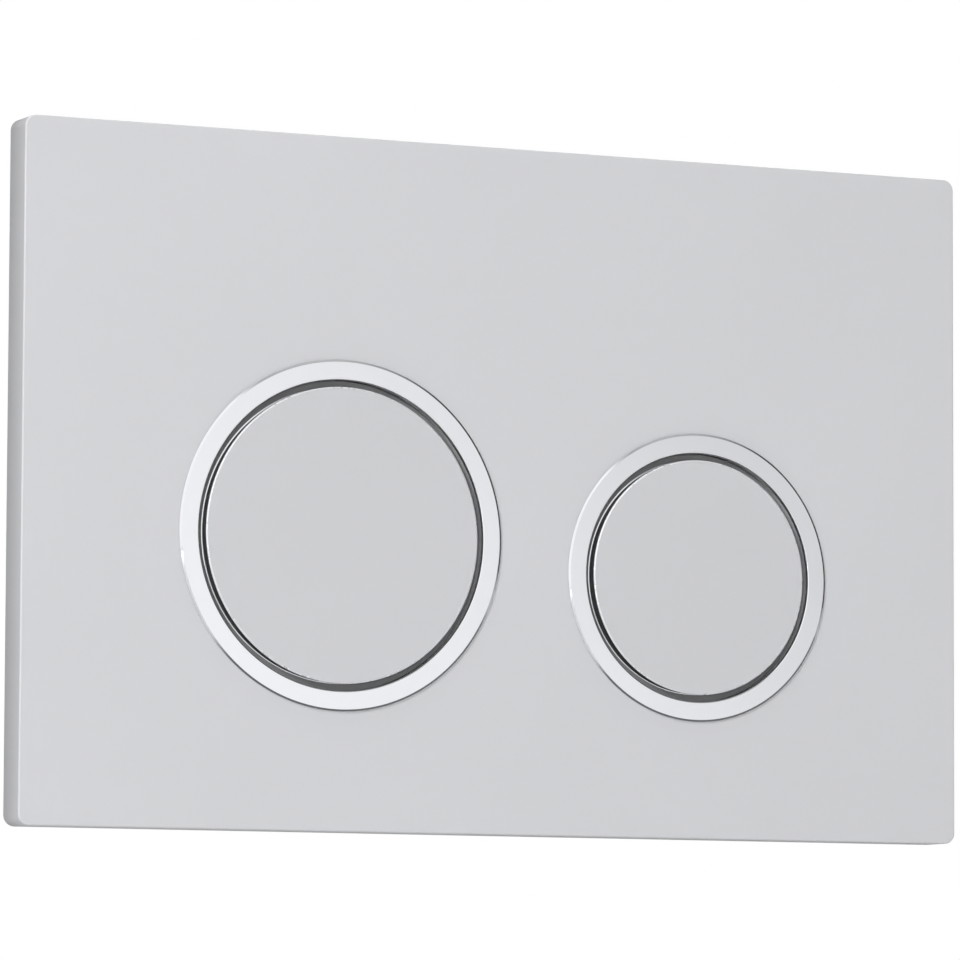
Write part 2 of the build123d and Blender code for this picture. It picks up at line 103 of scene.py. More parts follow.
def add_lamp(name, place, size, power):
    """A square soft lamp at a place, aimed at the middle of the plate."""
    data = bpy.data.lights.new(name, "AREA")
    data.shape = "SQUARE"
    data.size = size
    data.energy = power
    lamp = bpy.data.objects.new(name, data)
    place = Vector(place)
    turn = (-place).to_track_quat("-Z", "Y").to_matrix()
    lamp.matrix_world = Matrix.Translation(place) @ turn.to_4x4()
    lamp.visible_glossy = False
    scene.collection.objects.link(lamp)
    print(name, "stands", round(place.length, 2), "m away")


add_lamp("key_lamp", (-3.00, -2.52, 1.70), 0.8, 100.0)
add_lamp("front_lamp", (-1.50, -3.20, -0.05), 0.8, 63.0)
add_lamp("top_lamp", (-0.30, -0.35, 2.60), 0.8, 24.0)
add_lamp("back_lamp", (1.90, 2.70, 0.55), 1.4, 62.0)

# %% [markdown]
# ## Studio room
# The background is white for the camera. Polished metal shows what stands around it, so reflected rays
# see a studio of their own: a white screen in front that turns grey towards the right, a pale ceiling,
# and a grey room behind the plate. Real screens and walls could stand there, but they would cost light
# and time, and a ramp and two soft steps in the world do the same. Matt surfaces, and rays that have
# met one, only take a weak, even light from the room.

# %% Helpers: nodes, soft steps and ramps
def add_node(tree, kind, **settings):
    """A node of a kind in a tree, with its settings made."""
    node = tree.nodes.new(kind)
    for key, value in settings.items():
        setattr(node, key, value)
    return node


def add_step(tree, edge, tones):
    """A soft step: the first tone below the edge, the second above it, and a smooth change between."""
    step = add_node(tree, "ShaderNodeMapRange", interpolation_type="SMOOTHSTEP")
    step.inputs["From Min"].default_value, step.inputs["From Max"].default_value = edge
    step.inputs["To Min"].default_value, step.inputs["To Max"].default_value = tones
    return step


def add_ramp(tree, tones):
    """A ramp of greys from a table of places and tones."""
    ramp = add_node(tree, "ShaderNodeValToRGB")
    stops = ramp.color_ramp.elements
    while len(stops) < len(tones):
        stops.new(0.5)
    for stop, (place, tone) in zip(stops, tones.items()):
        stop.position = place
        stop.color = (tone, tone, tone, 1.0)
    return ramp


def add_sky(tree, strength=1.0):
    """A plain white sky of a strength."""
    sky = add_node(tree, "ShaderNodeBackground")
    sky.inputs["Color"].default_value = (1.0, 1.0, 1.0, 1.0)
    sky.inputs["Strength"].default_value = strength
    return sky


# %% Paint the room
room_strength = 0.16
screen_lean = 0.85
screen_tones = {0.43: 1.0, 0.50: 0.88, 0.54: 0.72, 0.65: 0.45, 0.85: 0.06}
back_edge, back_tones = (0.05, 0.60), (1.0, 0.40)
ceiling_edge, ceiling_tones = (0.50, 0.85), (0.0, 0.55)
matt_bounces = 0.5

world = bpy.data.worlds.new("studio")
scene.world = world
world.use_nodes = True
tree = world.node_tree
tree.nodes.clear()
ray = add_node(tree, "ShaderNodeLightPath")
sight = add_node(tree, "ShaderNodeTexCoord")
way = add_node(tree, "ShaderNodeSeparateXYZ")
lean = add_node(tree, "ShaderNodeMath", operation="MULTIPLY_ADD")
lean.inputs[1].default_value = screen_lean
screen = add_ramp(tree, screen_tones)
behind = add_step(tree, back_edge, back_tones)
ceiling = add_step(tree, ceiling_edge, ceiling_tones)
walls = add_node(tree, "ShaderNodeMath", operation="MINIMUM")
highest = add_node(tree, "ShaderNodeMath", operation="MAXIMUM")
seen = add_node(tree, "ShaderNodeMath", operation="MAXIMUM")
straight = add_node(tree, "ShaderNodeMath", operation="LESS_THAN")
straight.inputs[1].default_value = matt_bounces
polished = add_node(tree, "ShaderNodeMath", operation="MULTIPLY")
room, white, mirrored = add_sky(tree, room_strength), add_sky(tree), add_sky(tree)
first = add_node(tree, "ShaderNodeMixShader")
second = add_node(tree, "ShaderNodeMixShader")
output = add_node(tree, "ShaderNodeOutputWorld")
for start, end in (
    (sight.outputs["Generated"], way.inputs[0]),
    (way.outputs["Z"], lean.inputs[0]),
    (way.outputs["X"], lean.inputs[2]),
    (lean.outputs[0], screen.inputs["Fac"]),
    (way.outputs["Y"], behind.inputs["Value"]),
    (way.outputs["Z"], ceiling.inputs["Value"]),
    (screen.outputs["Color"], walls.inputs[0]),
    (behind.outputs["Result"], walls.inputs[1]),
    (walls.outputs[0], highest.inputs[0]),
    (ceiling.outputs["Result"], highest.inputs[1]),
    (highest.outputs[0], mirrored.inputs["Strength"]),
    (ray.outputs["Is Camera Ray"], seen.inputs[0]),
    (ray.outputs["Is Transmission Ray"], seen.inputs[1]),
    (seen.outputs[0], first.inputs[0]),
    (room.outputs[0], first.inputs[1]),
    (white.outputs[0], first.inputs[2]),
    (ray.outputs["Diffuse Depth"], straight.inputs[0]),
    (straight.outputs[0], polished.inputs[0]),
    (ray.outputs["Is Glossy Ray"], polished.inputs[1]),
    (polished.outputs[0], second.inputs[0]),
    (first.outputs[0], second.inputs[1]),
    (mirrored.outputs[0], second.inputs[2]),
    (second.outputs[0], output.inputs["Surface"]),
):
    tree.links.new(start, end)
print("nodes in the room:", len(tree.nodes))

# %% [markdown]
# ## Surfaces from arrays
# Every new piece is a grid of points: one direction of the grid runs along a profile, the other round
# an axis or along a path. The helper below turns such grids into one mesh. It could be a Screw
# modifier, but an array shows the formula. Rows that meet in one point are merged, which closes the
# poles, and the normals are then turned outwards.

# %% Helper: a mesh from grids of points
merge_distance = 1e-7
sharp_angle = math.radians(34)


def piece_from_grids(name, grids, body, material):
    """One object from closed grids. Each grid is rows x columns x 3; columns close on themselves, and
    rows do too where its flag says so. A quad joins each point to its neighbours in both directions."""
    points, quads, count = [], [], 0
    for grid, rows_close in grids:
        rows, columns = grid.shape[:2]
        index = np.arange(rows * columns).reshape(rows, columns) + count
        index = np.hstack([index, index[:, :1]])
        if rows_close:
            index = np.vstack([index, index[:1]])
        corners = (index[:-1, :-1], index[1:, :-1], index[1:, 1:], index[:-1, 1:])
        quads.append(np.stack(corners, axis=-1).reshape(-1, 4))
        points.append(grid.reshape(-1, 3))
        count += rows * columns
    mesh = bpy.data.meshes.new(name)
    mesh.from_pydata(np.vstack(points).tolist(), [], np.vstack(quads).tolist())
    shell = bmesh.new()
    shell.from_mesh(mesh)
    bmesh.ops.remove_doubles(shell, verts=shell.verts, dist=merge_distance)
    bmesh.ops.recalc_face_normals(shell, faces=shell.faces)
    shell.to_mesh(mesh)
    shell.free()
    mesh.shade_smooth()
    mesh.set_sharp_from_angle(angle=sharp_angle)
    mesh.materials.append(material)
    piece = bpy.data.objects.new(name, mesh)
    scene.collection.objects.link(piece)
    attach(piece, body)
    print(name, len(mesh.polygons), "faces")
    return piece


def turned_grid(profile, centre, columns):
    """A profile of radius and depth carried round an axis along Y: x is the centre's x plus the radius
    times the cosine of the angle, z is the centre's z plus the radius times its sine, y is the depth."""
    angle = np.linspace(0, 2 * np.pi, columns, endpoint=False)
    radius, depth = profile[:, :1], profile[:, 1:]
    x = centre[0] + radius * np.cos(angle)
    z = centre[1] + radius * np.sin(angle)
    return np.stack([x, depth + 0 * x, z], axis=-1)


def rounded_profile(corners, radii, steps=8, hold=0.04 * MM):
    """A closed outline with rounded corners. At each corner an arc joins the two sides where they touch
    a circle of the corner's radius, and a point just outside each end of the arc holds the flat sides
    flat. Radius 0 is sharp."""
    corners = np.asarray(corners, float)
    outline = []
    neighbours = np.roll(corners, 1, 0), np.roll(corners, -1, 0)
    for here, before, after, radius in zip(corners, *neighbours, radii):
        if radius == 0:
            outline.append(here[None])
            continue
        back = (before - here) / np.linalg.norm(before - here)
        on = (after - here) / np.linalg.norm(after - here)
        half = np.arccos(np.clip(back @ on, -1, 1)) / 2
        reach = radius / np.tan(half)
        middle = here + (back + on) / np.linalg.norm(back + on) * radius / np.sin(half)
        start, end = here + back * reach - middle, here + on * reach - middle
        sweep = np.pi - 2 * half
        share = np.linspace(0, 1, steps + 1)[:, None]
        arc = (np.sin((1 - share) * sweep) * start + np.sin(share * sweep) * end) / np.sin(sweep)
        ends = [(here + way * (reach + hold))[None] for way in (back, on)]
        outline += [ends[0], middle + arc, ends[1]]
    return np.vstack(outline)


# %% [markdown]
# ## Finishes
# Each finish is a few noise patterns on Object coordinates, which here are the metres of the frame, so
# a grain has its real size. The satin silver of the plate and the caps is a sprayed coat: mostly matt,
# with some metal in it and a very fine grain. On the rim behind the front edge its colour grows darker
# towards the wall, which is painted shade. The rings are plated and polished, their sleeves are plated
# but dull, and the cut edges of the caps lie between the two; the dull plating is made pale on the
# sleeves as painted light and dark on the gap rings as painted shade. The mouldings behind have the dull
# skin that a spark-worked mould leaves. Painted pictures could give all this, but noise needs no files
# and has no seams.

# %% Helpers: the parts of a finish
noise_low, noise_high = 0.3, 0.7


def new_finish(name, roughness, metallic, specular=0.5):
    """An empty material with its shader and the metres of the frame as coordinates."""
    material = bpy.data.materials.new(name)
    material.use_nodes = True
    tree = material.node_tree
    shader = tree.nodes["Principled BSDF"]
    shader.inputs["Roughness"].default_value = roughness
    shader.inputs["Metallic"].default_value = metallic
    shader.inputs["Specular IOR Level"].default_value = specular
    metres = add_node(tree, "ShaderNodeTexCoord")
    return material, tree, shader, metres


def add_noise(tree, metres, grain_size, detail=3.0, stretch=(1.0, 1.0, 1.0)):
    """Noise whose grains are about grain_size metres across, stretched along the axes."""
    mapping = add_node(tree, "ShaderNodeMapping")
    mapping.inputs["Scale"].default_value = stretch
    noise = add_node(tree, "ShaderNodeTexNoise")
    noise.inputs["Scale"].default_value = 1.0 / grain_size
    noise.inputs["Detail"].default_value = detail
    tree.links.new(metres.outputs["Object"], mapping.inputs["Vector"])
    tree.links.new(mapping.outputs["Vector"], noise.inputs["Vector"])
    return noise


def vary_colour(tree, shader, noise, low, high):
    """Lets a noise pattern move the colour between two tones that lie close together."""
    ramp = add_node(tree, "ShaderNodeValToRGB")
    for stop, place, tone in zip(ramp.color_ramp.elements, (noise_low, noise_high), (low, high)):
        stop.position = place
        stop.color = (*tone, 1.0)
    tree.links.new(noise.outputs["Fac"], ramp.inputs["Fac"])
    tree.links.new(ramp.outputs["Color"], shader.inputs["Base Color"])


def vary_roughness(tree, shader, noise, low, high):
    """Lets a noise pattern move the roughness between two values."""
    spread = add_node(tree, "ShaderNodeMapRange")
    spread.inputs["From Min"].default_value = noise_low
    spread.inputs["From Max"].default_value = noise_high
    spread.inputs["To Min"].default_value = low
    spread.inputs["To Max"].default_value = high
    tree.links.new(noise.outputs["Fac"], spread.inputs["Value"])
    tree.links.new(spread.outputs["Result"], shader.inputs["Roughness"])


def add_bump(tree, shader, noise, depth, strength=1.0):
    """Lets a noise pattern raise the surface by up to depth metres."""
    bump = add_node(tree, "ShaderNodeBump")
    bump.inputs["Distance"].default_value = depth
    bump.inputs["Strength"].default_value = strength
    tree.links.new(noise.outputs["Fac"], bump.inputs["Height"])
    tree.links.new(bump.outputs["Normal"], shader.inputs["Normal"])


# %% Satin silver and bright plating
face_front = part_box("face_plate")[0].y
# Painted shade on the rims of the plate and caps: the colour falls from the first tone just behind the
# front edge to the second at the wall.
rim_shade_edge = face_front + 0.3 * MM
rim_shade_tones = (0.92, 0.61)
plating_tones = (0.895, 0.907, 0.935), (0.910, 0.920, 0.948)
haze_spread = np.array([0.75, 1.4])


def painted_rim_shade(tree, shader, metres):
    """Painted shade on the rim: full tone on the face, and behind the front edge less and less towards
    the wall.
    """
    colour = shader.inputs["Base Color"].links[0].from_socket
    place = add_node(tree, "ShaderNodeSeparateXYZ")
    fall = add_node(tree, "ShaderNodeMapRange")
    fall.inputs["From Min"].default_value, fall.inputs["From Max"].default_value = rim_shade_edge, 0.0
    fall.inputs["To Min"].default_value, fall.inputs["To Max"].default_value = rim_shade_tones
    front = add_node(tree, "ShaderNodeMath", operation="LESS_THAN")
    front.inputs[1].default_value = rim_shade_edge
    share = add_node(tree, "ShaderNodeMath", operation="MAXIMUM")
    # This multiplies the painted rim shade into the colour.
    coat = add_node(tree, "ShaderNodeMix", data_type="RGBA", blend_type="MULTIPLY")
    coat.inputs["Factor"].default_value = 1.0
    # Sockets 6 and 7 of a mix of colours take the two colours, and socket 2 gives the result.
    for start, end in (
        (metres.outputs["Object"], place.inputs[0]),
        (place.outputs["Y"], fall.inputs["Value"]),
        (place.outputs["Y"], front.inputs[0]),
        (fall.outputs["Result"], share.inputs[0]),
        (front.outputs[0], share.inputs[1]),
        (colour, coat.inputs[6]),
        (share.outputs[0], coat.inputs[7]),
        (coat.outputs[2], shader.inputs["Base Color"]),
    ):
        tree.links.new(start, end)


def satin_silver(name, tone):
    """Sprayed silver coat of a tone: fine grain, a slow drift of tone, and a broad soft gloss."""
    material, tree, shader, metres = new_finish(name, roughness=0.5, metallic=0.12)
    cool, drift = np.array([1.0, 1.006, 1.038]), 0.01
    patches = add_noise(tree, metres, grain_size=60 * MM, detail=1.0)
    vary_colour(tree, shader, patches, tone * cool, (tone + drift) * cool)
    # Painted shade on the rim.
    painted_rim_shade(tree, shader, metres)
    grain = add_noise(tree, metres, grain_size=0.22 * MM, detail=2.0)
    vary_roughness(tree, shader, grain, low=0.47, high=0.56)
    add_bump(tree, shader, grain, depth=0.004 * MM, strength=0.5)
    return material


def bright_plating(name, metallic, roughness):
    """Bright metal, a little blue, with the faint haze of a moulded part. Plating is all metal and almost
    a mirror; a cut edge is softer and half matt."""
    material, tree, shader, metres = new_finish(name, roughness, metallic)
    patches = add_noise(tree, metres, grain_size=25 * MM, detail=1.0)
    vary_colour(tree, shader, patches, *plating_tones)
    haze = add_noise(tree, metres, grain_size=4 * MM, detail=3.0)
    vary_roughness(tree, shader, haze, *(haze_spread * roughness))
    return material


def dull_plating(name, tone):
    """Plating that was never polished: the same metal in a tone of grey, soft in its gloss."""
    material, tree, shader, metres = new_finish(name, roughness=0.5, metallic=0.25)
    cool, drift = np.array([1.0, 1.01, 1.03]), 0.03
    patches = add_noise(tree, metres, grain_size=12 * MM, detail=2.0)
    vary_colour(tree, shader, patches, tone * cool, (tone + drift) * cool)
    grain = add_noise(tree, metres, grain_size=0.3 * MM, detail=2.0)
    vary_roughness(tree, shader, grain, low=0.44, high=0.56)
    add_bump(tree, shader, grain, depth=0.004 * MM, strength=0.5)
    return material


# %% Mouldings and steel
def moulded_plastic(name, low, high, roughness, grain_size, grain_depth=0.02 * MM):
    """Plastic from a dull mould: one colour with a slight drift, and a fine pitted skin."""
    material, tree, shader, metres = new_finish(name, roughness, metallic=0.0, specular=0.45)
    patches = add_noise(tree, metres, grain_size=30 * MM, detail=2.0)
    vary_colour(tree, shader, patches, low, high)
    skin, spread = add_noise(tree, metres, grain_size, detail=3.0), 0.06
    vary_roughness(tree, shader, skin, roughness - spread, roughness + spread)
    add_bump(tree, shader, skin, grain_depth)
    return material


def drawn_steel(name, low, high, roughness, stretch):
    """Bare or plated steel: metal with fine draw marks along one axis."""
    material, tree, shader, metres = new_finish(name, roughness, metallic=1.0)
    patches = add_noise(tree, metres, grain_size=3 * MM, detail=3.0)
    vary_colour(tree, shader, patches, low, high)
    marks, spread = add_noise(tree, metres, 0.3 * MM, 2.0, stretch), 0.08
    vary_roughness(tree, shader, marks, roughness - spread, roughness + spread)
    add_bump(tree, shader, marks, depth=0.006 * MM, strength=0.6)
    return material


# %% Mix the finishes
silver = satin_silver("satin_silver", 0.63)
cap_silver = satin_silver("cap_silver", 0.60)
plating = bright_plating("bright_plating", 1.0, 0.07)
cut_edge = bright_plating("cut_edge", 0.5, 0.28)
# The same dull plating in two tones: pale on the sleeves as painted light in the gap, dark on the gap
# rings as painted shade.
sleeve_plating_painted_light = dull_plating("sleeve_plating_painted_light", 0.88)
gap_plating_painted_shade = dull_plating("gap_plating_painted_shade", 0.23)
black_tones = (0.034, 0.035, 0.037), (0.046, 0.047, 0.049)
white_tones = (0.70, 0.705, 0.70), (0.74, 0.74, 0.735)
acetal_tones = (0.72, 0.72, 0.69), (0.77, 0.765, 0.735)
grey_tones = (0.27, 0.28, 0.29), (0.32, 0.33, 0.34)
zinc_tones = (0.60, 0.61, 0.60), (0.72, 0.72, 0.70)
steel_tones = (0.50, 0.50, 0.51), (0.60, 0.60, 0.61)
dark_plastic = moulded_plastic("dark_plastic", *black_tones, roughness=0.5, grain_size=0.5 * MM)
white_plastic = moulded_plastic("white_plastic", *white_tones, roughness=0.42, grain_size=0.6 * MM)
acetal = moulded_plastic("acetal", *acetal_tones, 0.34, grain_size=0.8 * MM, grain_depth=0.01 * MM)
grey_plastic = moulded_plastic("grey_plastic", *grey_tones, roughness=0.45, grain_size=0.5 * MM)
zinc = drawn_steel("zinc_plate", *zinc_tones, roughness=0.34, stretch=(1.0, 0.15, 1.0))
steel = drawn_steel("spring_steel", *steel_tones, roughness=0.28, stretch=(0.2, 1.0, 1.0))
print("finishes:", [m.name for m in bpy.data.materials])

# %% [markdown]
# ## Finishes on the solids
# The moulded pieces keep their CAD shape, and only get their finish. A node's mesh is never changed, so
# all that is done here is to put the material into its slots. New meshes could stand in for them, but
# the solids are true to the object.

# %% Assign the finishes
finish_of = {
    "face_plate": silver,
    "large_button_cap": cap_silver,
    "small_button_cap": cap_silver,
    "large_ring": plating,
    "small_ring": plating,
    "carrier": dark_plastic,
    "carrier_screws": zinc,
    "mounting_frame": white_plastic,
    "fixing_bolts": zinc,
}
buttons = ("large", "small")
for side in buttons:
    finish_of[f"{side}_plunger"] = dark_plastic
    finish_of[f"{side}_lever"] = acetal
    finish_of[f"{side}_lever_pin"] = steel
    finish_of[f"{side}_return_spring"] = steel
    finish_of[f"{side}_rod_sleeve"] = grey_plastic
    finish_of[f"{side}_rod_lock_nut"] = grey_plastic
    finish_of[f"{side}_rod_spindle"] = acetal
for name, node in nodes.items():
    node.data.materials.clear()
    node.data.materials.append(finish_of[name])
print("nodes with a finish:", len(finish_of))

# %% [markdown]
# ## Trim rings
# A trim ring is a plated hoop. Its flange lies on the face and is polished; the narrow bevel round it
# mirrors other parts of the room than the flat does, and so draws the thin lines that outline the ring.
# A small lip hides the sleeve. A turned profile with soft corners draws those lines better than the
# plain edges of the solid.

# %% Turn the polished flanges
ring_band = 4.85 * MM
ring_wall = 1.6 * MM
lip_height = 1.0 * MM
lip_reach = 0.35 * MM
inner_edge = 0.3 * MM
bevel_width = 0.50 * MM
bevel_drop = 0.24 * MM
bevel_edge = 0.1 * MM
fine_columns = 256


def axis_of(node):
    """The middle and the radius of a round solid that stands on an axis along Y, from its box."""
    low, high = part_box(node)
    return ((low.x + high.x) / 2, (low.z + high.z) / 2), (high.x - low.x) / 2


def flange_profile(inner, outer, front):
    """The section of a flange: a quarter circle at its inner edge, the flat front, a narrow bevel with
    soft edges at its outer edge, then the foot on the face, and the lip back to the start."""
    bevel = [(outer - bevel_width, front), (outer, front + bevel_drop)]
    foot = [(outer, face_front), (inner + ring_wall, face_front)]
    lip = [(inner + ring_wall, front + lip_height), (inner, front + lip_height)]
    radii = [inner_edge, bevel_edge, bevel_edge, 0, 0, 0, 0]
    return rounded_profile([(inner, front)] + bevel + foot + lip, radii, steps=12)


for side in buttons:
    centre, outer = axis_of(f"{side}_ring")
    profile = flange_profile(outer - ring_band, outer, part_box(f"{side}_ring")[0].y)
    grid = turned_grid(profile, centre, fine_columns)
    flange = piece_from_grids(f"{side}_trim_ring", [(grid, True)], "plate", plating)
    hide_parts(f"{side}_ring")

# %% [markdown]
# ## Ring sleeves
# Behind the lip each ring goes on as a sleeve through the face, with four barbs that snap behind it.
# Nobody polishes a sleeve, so it is dull, and it is the grey band in the gap on the far side of each
# button; its pale grey is painted light. It is a piece of its own because its finish ends at the lip.
# The barbs could be cut from the same profile, but they are short blocks, and a block is a grid of four
# rows.

# %% Turn the dull sleeves with their barbs
barb_reach = 1.0 * MM
barb_width = 12.0 * MM
barb_height = 1.0 * MM
barb_gap = 0.2 * MM
barb_angles = np.radians([45, 135, 225, 315])
face_thickness = 2.6 * MM
sleeve_overlap = 0.05 * MM
sleeve_edge = 0.08 * MM
sleeve_columns = 192


def block_grid(middle, outward, size):
    """A block as a grid of four rows: two square rows of corners, closed at each end by a point in the
    middle of the square."""
    outward = np.array([np.cos(outward), 0.0, np.sin(outward)])
    sideways = np.array([-outward[2], 0.0, outward[0]])
    square = np.array([[-1, -1], [1, -1], [1, 1], [-1, 1]]) / 2
    rim = middle + square[:, :1] * size[0] * outward + square[:, 1:] * size[1] * sideways
    depth = np.array([0.0, size[2] / 2, 0.0])
    ends = [np.repeat((middle + side * depth)[None], 4, axis=0) for side in (-1, 1)]
    return np.stack([ends[0], rim - depth, rim + depth, ends[1]])


for side in buttons:
    centre, outer = axis_of(f"{side}_ring")
    low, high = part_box(f"{side}_ring")
    wall_in, wall_out = outer - ring_band + lip_reach, outer - ring_band + ring_wall
    start = low.y + lip_height - sleeve_overlap
    corners = [(wall_in, start), (wall_out, start), (wall_out, high.y), (wall_in, high.y)]
    profile = rounded_profile(corners, [0, 0, sleeve_edge, sleeve_edge])
    grids = [(turned_grid(profile, centre, sleeve_columns), True)]
    barb_depth = face_front + face_thickness + barb_gap + barb_height / 2
    barb_size = (2 * barb_reach, barb_width, barb_height)
    for angle in barb_angles:
        x, z = centre[0] + wall_out * np.cos(angle), centre[1] + wall_out * np.sin(angle)
        grids.append((block_grid(np.array([x, barb_depth, z]), angle, barb_size), False))
    sleeve = piece_from_grids(f"{side}_ring_sleeve", grids, "plate", sleeve_plating_painted_light)
    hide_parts(f"{side}_ring")

# %% [markdown]
# ## Cut edges of the caps
# The satin caps have a narrow edge that is cut bright after the coat is on. It shows as a fine light
# line at the left of each button and a dark one at the right. A line could be painted on the solid, but
# a thin hoop with a rounded front takes the light as a cut edge does. It lies a hair over the bevel of
# the solid and ends inside it, so no gap can show.

# %% Turn the bright edges
cap_edge = 0.3 * MM
edge_wall = 0.03 * MM
edge_rise = 0.015 * MM
edge_turn = np.radians([10, 80])
edge_points = 12


def edge_profile(radius, front):
    """A section of a hoop: an arc from just above the face to just outside the wall, which turns from
    10 to 80 degrees, then a short wall, and two points inside the cap that close it."""
    turn = np.linspace(*edge_turn, edge_points)
    arc = np.stack([np.sin(turn), -np.cos(turn)], axis=-1)
    arc *= (cap_edge + 2 * edge_rise) / (arc[-1, 0] - arc[0, 0])
    arc += np.array([radius + edge_rise, front + cap_edge + edge_rise]) - arc[-1]
    foot = front + cap_edge + edge_wall
    rest = [(radius + edge_rise, foot), (radius - cap_edge, foot), (arc[0, 0], front + cap_edge)]
    return np.vstack([arc, rest])


for side in buttons:
    centre, radius = axis_of(f"{side}_button_cap")
    profile = edge_profile(radius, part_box(f"{side}_button_cap")[0].y)
    grid = turned_grid(profile, centre, fine_columns)
    piece_from_grids(f"{side}_cap_edge", [(grid, True)], f"{side}_button", cut_edge)

# %% [markdown]
# ## Cap seats and gap rings
# Each cap lies in the rim of its dark dish: a thin black hoop covers the side of the cap below its
# bright edge, and is also painted shade under that edge, so only the bright edge stands out. Lower down
# a flange closes the gap round the button, and nobody looks into the works. The flange carries a grey
# ring of dull plating, darkened as painted shade, with a fine bright slope at its root, which is the
# light line in the gap on the near side. They could be steps of the solids, but they are thinner than a
# mould gives, so all three are short sections carried round the axis.

# %% Turn the cap seats and the gap rings
seat_wall = 0.02 * MM
seat_root = 0.1 * MM
cap_thickness = 0.7 * MM
flange_inset = 3.3 * MM
skirt_step = 0.3 * MM
gap_sheet = 0.15 * MM
slope_ledge = 0.12 * MM
slope_width = 0.22 * MM
slope_rise = 0.10 * MM
gap_finishes = {
    "cap_seat_and_shade": ("black_plastic", dark_plastic),
    # The dark grey of the gap ring is painted shade.
    "gap_ring": ("satin_silver", gap_plating_painted_shade),
    "gap_slope": ("bright_chrome", plating),
}


def box_section(inner, outer, front, back):
    """The four corners of a section between two radii and two depths."""
    return [(inner, front), (outer, front), (outer, back), (inner, back)]


for side in buttons:
    centre, radius = axis_of(f"{side}_button_cap")
    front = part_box(f"{side}_button_cap")[0].y
    wall, rim = radius - skirt_step, axis_of(f"{side}_plunger")[1]
    top, floor = front + cap_edge + edge_wall, front + flange_inset - gap_sheet
    back, under = front + cap_thickness + seat_wall, floor + gap_sheet
    sections = {
        # A thin black hoop over the side of the cap below its bright edge: the rim of the dark dish, and
        # painted shade under the edge.
        "cap_seat_and_shade": box_section(radius - seat_root, radius + seat_wall, top, back),
        "gap_ring": box_section(wall - seat_root, rim, floor, under),
        "gap_slope": [
            (wall - seat_root, floor - slope_rise),
            (wall + slope_ledge, floor - slope_rise),
            (wall + slope_ledge + slope_width, floor),
            (wall, under),
        ],
    }
    for name, section in sections.items():
        slot, finish = gap_finishes[name]
        grid = turned_grid(np.array(section), centre, fine_columns)
        piece_from_grids(f"{side}_{name}", [(grid, True)], f"{side}_button", finish)

# %% [markdown]
# ## Return springs
# Each button is pushed back by a wire spring between the cup of the carrier and the dish behind the
# cap. The wire is round and its last turn at each end lies flat. A curve with a bevel could draw it,
# but here the circle of the wire is carried along the path by its own directions. A pressed button
# shortens the spring, but here it is wound at the length of the solid.

# %% Wind the return springs
wire = 0.45 * MM
coil_turns = 4.0
flat_turn = 1.0


def coil_grid(centre, radius, start, end, turns, wire_radius, columns=12, rows_per_turn=56):
    """A wire of round section along a coil. The coil's angle grows evenly; its depth grows by one wire a
    turn in the flat end turns and evenly between them. The ends of the wire shrink to a point."""
    rows = int(turns * rows_per_turn) + 1
    turned = np.linspace(0, turns, rows)
    end_rise = 2 * wire_radius * flat_turn
    knots = [0, flat_turn, turns - flat_turn, turns]
    rises = [0, end_rise, (end - start) - end_rise, end - start]
    depth = start + np.interp(turned, knots, rises)
    angle = 2 * np.pi * turned
    outward = np.stack([np.cos(angle), 0 * angle, np.sin(angle)], axis=-1)
    middle = np.array([centre[0], 0, centre[1]])
    path = middle + radius * outward + depth[:, None] * np.array([0, 1, 0])
    along = np.gradient(path, axis=0)
    along /= np.linalg.norm(along, axis=1, keepdims=True)
    third = np.cross(along, outward)
    around = np.linspace(0, 2 * np.pi, columns, endpoint=False)[None, :, None]
    ring = np.cos(around) * outward[:, None] + np.sin(around) * third[:, None]
    tube = path[:, None] + wire_radius * ring
    caps = [np.repeat(path[row][None, None], columns, axis=1) for row in (0, -1)]
    return np.concatenate([caps[0], tube, caps[1]])


for side in buttons:
    low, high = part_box(f"{side}_return_spring")
    centre, radius = axis_of(f"{side}_return_spring")
    grid = coil_grid(centre, radius - wire, high.y - wire, low.y + wire, coil_turns, wire)
    spring = piece_from_grids(f"{side}_wire_spring", [(grid, False)], "plate", steel)
    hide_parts(f"{side}_return_spring")
    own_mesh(spring)

# %% [markdown]
# ## Screws of the carrier
# Six pan head screws hold the carrier on the back of the face plate. The head has a rounded shoulder
# and a cross for the driver. The cross could be cut with a boolean, but here the top is a fine grid
# whose points sink where the cross is, so the edges of the recess stay soft.

# %% Turn the screws
screw_radius = 1.45 * MM
screw_head_radius = 2.8 * MM
screw_head_height = 1.7 * MM
screw_shoulder = 0.8 * MM
screw_tip_radius = 0.6 * screw_radius
screw_tip_height = 0.4 * MM
cross_depth = 0.9 * MM
cross_width = 0.34 * MM
cross_reach = 1.55 * MM
cross_soft = 0.12 * MM
cross_rise = 0.6
screw_across = (-86 * MM, 7 * MM, 86 * MM)
screw_up = (50 * MM, -50 * MM)
screw_places = [(x, z) for x in screw_across for z in screw_up]
shoulder_rows, crown_rows, screw_columns = 8, 40, 96


def soft_step(distance, width):
    """0 below minus half the width, 1 above half of it, and a smooth rise between."""
    share = np.clip(distance / width + 0.5, 0, 1)
    return share * share * (3 - 2 * share)


def cross_recess(x, z):
    """Depth of a cross at a place on the head. One arm lies along each axis: a place is in it if it is
    near enough to the nearer axis and not too far out. The floor of the recess rises towards the ends of
    the arms."""
    near, far = np.minimum(abs(x), abs(z)), np.maximum(abs(x), abs(z))
    inside = soft_step(cross_width - near, cross_soft) * soft_step(cross_reach - far, cross_soft)
    return cross_depth * inside * (1 - cross_rise * np.clip(far / cross_reach, 0, 1))


